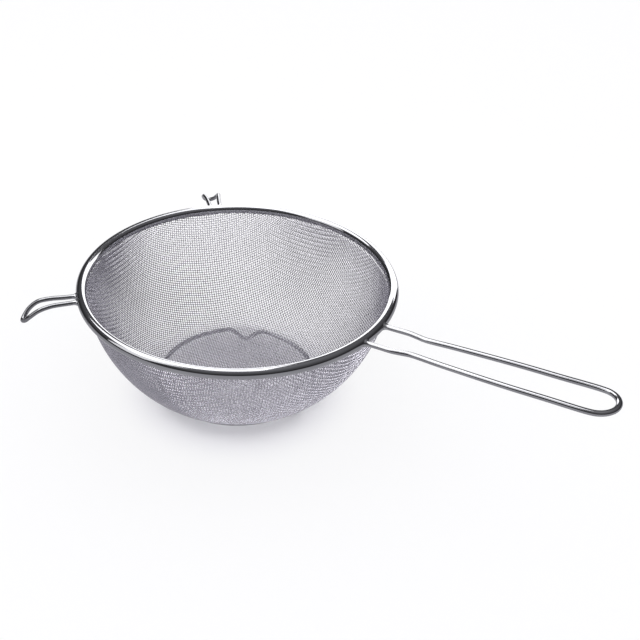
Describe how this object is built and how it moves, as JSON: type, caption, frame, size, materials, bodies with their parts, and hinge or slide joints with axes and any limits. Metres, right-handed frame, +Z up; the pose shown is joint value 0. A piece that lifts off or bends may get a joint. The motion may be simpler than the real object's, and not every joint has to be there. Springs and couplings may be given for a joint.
{
  "type": "mesh strainer",
  "caption": "Round kitchen strainer: woven wire bowl in a rolled rim, long wire loop handle, wire rest hooks and a bent wire foot.",
  "frame": {"origin": "on the standing plane, under the middle of the box round the whole strainer; the bowl's axis is at X = -0.068 m, Y = 0.002 m", "axes": "+X along the handle towards its end, +Z up, the design is symmetric about the plane Y = 0.002 m through the handle, apart from 3 degrees in the places of the hooks"},
  "size_m": [0.336, 0.204, 0.0951],
  "materials": {
    "rim_steel": "polished stainless steel",
    "mesh_steel": "woven stainless wire",
    "handle_steel": "polished stainless steel wire",
    "hook_steel": "polished stainless steel wire",
    "foot_steel": "polished stainless steel wire",
    "weld_steel": "polished weld"
  },
  "bodies": {
    "root": {"rim": "rim_steel", "mesh_bowl": "mesh_steel", "handle_wire": "handle_steel", "hook_left": "hook_steel", "hook_rear": "hook_steel", "foot_wire": "foot_steel", "handle_weld_left": "weld_steel", "handle_weld_right": "weld_steel", "hook_left_weld_a": "weld_steel", "hook_left_weld_b": "weld_steel", "hook_rear_weld_a": "weld_steel", "hook_rear_weld_b": "weld_steel"}
  },
  "joints": []
}
